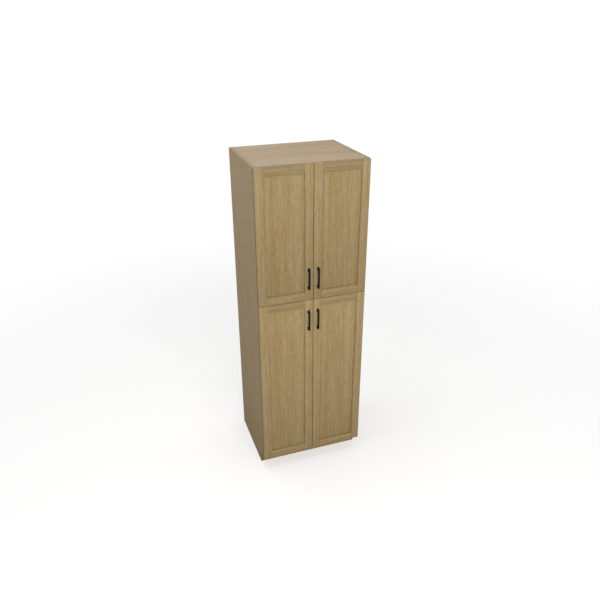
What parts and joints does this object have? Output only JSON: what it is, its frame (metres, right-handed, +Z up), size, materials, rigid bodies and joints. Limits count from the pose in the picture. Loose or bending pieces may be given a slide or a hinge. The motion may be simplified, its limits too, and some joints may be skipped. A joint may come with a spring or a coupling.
{
  "type": "broom cupboard",
  "caption": "Tall free-standing oak-veneer broom cupboard with two long lower doors, two shorter upper doors, black bow handles and a recessed toe kick.",
  "frame": {"origin": "on the floor, in the middle of the whole width and depth, handles included", "axes": "+Z up, +Y to the back, +X to the right as seen from the front"},
  "size_m": [0.762, 0.6536, 2.286],
  "materials": {
    "oak_veneer": "satin lacquered oak veneer",
    "oak_inside": "plain oak-veneered board",
    "black_metal": "matt black powder coat",
    "nickel_steel": "nickel-plated pressed steel"
  },
  "bodies": {
    "cupboard": {"left_side_panel": "oak_veneer", "right_side_panel": "oak_veneer", "top_panel": "oak_veneer", "bottom_panel": "oak_veneer", "middle_deck": "oak_veneer", "adjustable_shelf": "oak_veneer", "back_panel": "oak_inside", "toe_kick_board": "oak_inside", "top_nailing_rail": "oak_inside", "bottom_nailing_rail": "oak_inside", "shelf_pin_left_front": "nickel_steel", "shelf_pin_left_back": "nickel_steel", "shelf_pin_right_front": "nickel_steel", "shelf_pin_right_back": "nickel_steel", "lower_left_door_hinge_arm_bottom": "nickel_steel", "lower_left_door_hinge_arm_middle": "nickel_steel", "lower_left_door_hinge_arm_top": "nickel_steel", "lower_right_door_hinge_arm_bottom": "nickel_steel", "lower_right_door_hinge_arm_middle": "nickel_steel", "lower_right_door_hinge_arm_top": "nickel_steel", "upper_left_door_hinge_arm_bottom": "nickel_steel", "upper_left_door_hinge_arm_top": "nickel_steel", "upper_right_door_hinge_arm_bottom": "nickel_steel", "upper_right_door_hinge_arm_top": "nickel_steel"},
    "lower_left_door": {"lower_left_door_hinge_stile": "oak_veneer", "lower_left_door_meeting_stile": "oak_veneer", "lower_left_door_bottom_rail": "oak_veneer", "lower_left_door_top_rail": "oak_veneer", "lower_left_door_panel": "oak_veneer", "lower_left_door_handle": "black_metal", "lower_left_door_hinge_cup_bottom": "nickel_steel", "lower_left_door_hinge_cup_middle": "nickel_steel", "lower_left_door_hinge_cup_top": "nickel_steel"},
    "lower_right_door": {"lower_right_door_hinge_stile": "oak_veneer", "lower_right_door_meeting_stile": "oak_veneer", "lower_right_door_bottom_rail": "oak_veneer", "lower_right_door_top_rail": "oak_veneer", "lower_right_door_panel": "oak_veneer", "lower_right_door_handle": "black_metal", "lower_right_door_hinge_cup_bottom": "nickel_steel", "lower_right_door_hinge_cup_middle": "nickel_steel", "lower_right_door_hinge_cup_top": "nickel_steel"},
    "upper_left_door": {"upper_left_door_hinge_stile": "oak_veneer", "upper_left_door_meeting_stile": "oak_veneer", "upper_left_door_bottom_rail": "oak_veneer", "upper_left_door_top_rail": "oak_veneer", "upper_left_door_panel": "oak_veneer", "upper_left_door_handle": "black_metal", "upper_left_door_hinge_cup_bottom": "nickel_steel", "upper_left_door_hinge_cup_top": "nickel_steel"},
    "upper_right_door": {"upper_right_door_hinge_stile": "oak_veneer", "upper_right_door_meeting_stile": "oak_veneer", "upper_right_door_bottom_rail": "oak_veneer", "upper_right_door_top_rail": "oak_veneer", "upper_right_door_panel": "oak_veneer", "upper_right_door_handle": "black_metal", "upper_right_door_hinge_cup_bottom": "nickel_steel", "upper_right_door_hinge_cup_top": "nickel_steel"}
  },
  "joints": [
    {"name": "lower_left_door_hinge", "type": "hinge", "parent": "cupboard", "child": "lower_left_door", "pos_m": [-0.3735, -0.2958, 0.7366], "axis": [0, 0, -1], "range_deg": [0, 110]},
    {"name": "lower_right_door_hinge", "type": "hinge", "parent": "cupboard", "child": "lower_right_door", "pos_m": [0.3735, -0.2958, 0.7366], "axis": [0, 0, 1], "range_deg": [0, 110]},
    {"name": "upper_left_door_hinge", "type": "hinge", "parent": "cupboard", "child": "upper_left_door", "pos_m": [-0.3735, -0.2958, 1.8288], "axis": [0, 0, -1], "range_deg": [0, 110]},
    {"name": "upper_right_door_hinge", "type": "hinge", "parent": "cupboard", "child": "upper_right_door", "pos_m": [0.3735, -0.2958, 1.8288], "axis": [0, 0, 1], "range_deg": [0, 110]}
  ]
}
